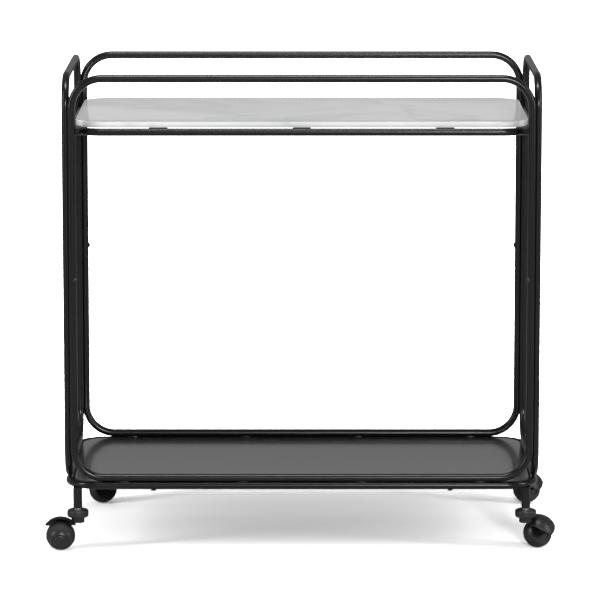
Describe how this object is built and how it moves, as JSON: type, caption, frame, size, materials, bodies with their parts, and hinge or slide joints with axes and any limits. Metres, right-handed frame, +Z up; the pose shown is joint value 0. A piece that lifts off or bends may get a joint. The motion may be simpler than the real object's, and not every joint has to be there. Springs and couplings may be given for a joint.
{
  "type": "bar cart",
  "caption": "Bar cart with a stone top shelf and a black sheet lower shelf in a rounded black tube frame, rolling on hooded ball casters.",
  "frame": {"origin": "on the floor, under the middle of the outline of the cart with its casters as they stand", "axes": "+X along the cart to its right end, +Y from its front to its back, +Z up"},
  "size_m": [0.8662, 0.4282, 0.8095],
  "materials": {
    "frame_black": "semi-gloss black powder coat",
    "shelf_black": "gloss black coated steel sheet",
    "marble": "polished white marble with faint grey veins",
    "pad_clear": "soft grip pad",
    "screw_black": "black oxide",
    "caster_black": "fine satin moulded black",
    "wheel_black": "satin moulded black",
    "tread_black": "matt black tread",
    "zinc": "bright zinc plate"
  },
  "bodies": {
    "frame": {"front_loop": "frame_black", "back_loop": "frame_black", "left_end_loop": "frame_black", "right_end_loop": "frame_black", "top_ring": "frame_black", "bottom_ring": "frame_black", "ring_brackets": "frame_black", "marble_top": "marble", "top_cross_bars": "frame_black", "marble_pads": "pad_clear", "shelf_panel": "shelf_black", "shelf_ribs": "shelf_black", "corner_screws": "screw_black", "ring_bolts": "screw_black", "caster_posts": "frame_black", "caster_sleeves": "caster_black", "stem_clips": "zinc", "stem_front_left": "zinc", "stem_front_right": "zinc", "stem_back_left": "zinc", "stem_back_right": "zinc"},
    "caster_front_left": {"hood_front_left": "caster_black", "axle_front_left": "zinc"},
    "wheel_front_left": {"wheel_front_left": "wheel_black", "tyre_front_left": "tread_black"},
    "caster_front_right": {"hood_front_right": "caster_black", "axle_front_right": "zinc"},
    "wheel_front_right": {"wheel_front_right": "wheel_black", "tyre_front_right": "tread_black"},
    "caster_back_left": {"hood_back_left": "caster_black", "axle_back_left": "zinc"},
    "wheel_back_left": {"wheel_back_left": "wheel_black", "tyre_back_left": "tread_black"},
    "caster_back_right": {"hood_back_right": "caster_black", "axle_back_right": "zinc"},
    "wheel_back_right": {"wheel_back_right": "wheel_black", "tyre_back_right": "tread_black"}
  },
  "joints": [
    {"name": "swivel_front_left", "type": "hinge", "parent": "frame", "child": "caster_front_left", "pos_m": [-0.37885, -0.19035, 0.06], "axis": [0, 0, 1], "continuous": true},
    {"name": "spin_front_left", "type": "hinge", "parent": "caster_front_left", "child": "wheel_front_left", "pos_m": [-0.40836, -0.19035, 0.025], "axis": [0, -0.9135, -0.4067], "continuous": true},
    {"name": "swivel_front_right", "type": "hinge", "parent": "frame", "child": "caster_front_right", "pos_m": [0.37885, -0.19035, 0.06], "axis": [0, 0, 1], "continuous": true},
    {"name": "spin_front_right", "type": "hinge", "parent": "caster_front_right", "child": "wheel_front_right", "pos_m": [0.40078, -0.17062, 0.025], "axis": [-0.6113, 0.6789, -0.4067], "continuous": true},
    {"name": "swivel_back_left", "type": "hinge", "parent": "frame", "child": "caster_back_left", "pos_m": [-0.37885, 0.17036, 0.06], "axis": [0, 0, 1], "continuous": true},
    {"name": "spin_back_left", "type": "hinge", "parent": "caster_back_left", "child": "wheel_back_left", "pos_m": [-0.35499, 0.1877, 0.025], "axis": [-0.537, 0.7391, -0.4067], "continuous": true},
    {"name": "swivel_back_right", "type": "hinge", "parent": "frame", "child": "caster_back_right", "pos_m": [0.37885, 0.17036, 0.06], "axis": [0, 0, 1], "continuous": true},
    {"name": "spin_back_right", "type": "hinge", "parent": "caster_back_right", "child": "wheel_back_right", "pos_m": [0.4021, 0.18852, 0.025], "axis": [-0.5624, 0.7199, -0.4067], "continuous": true}
  ]
}
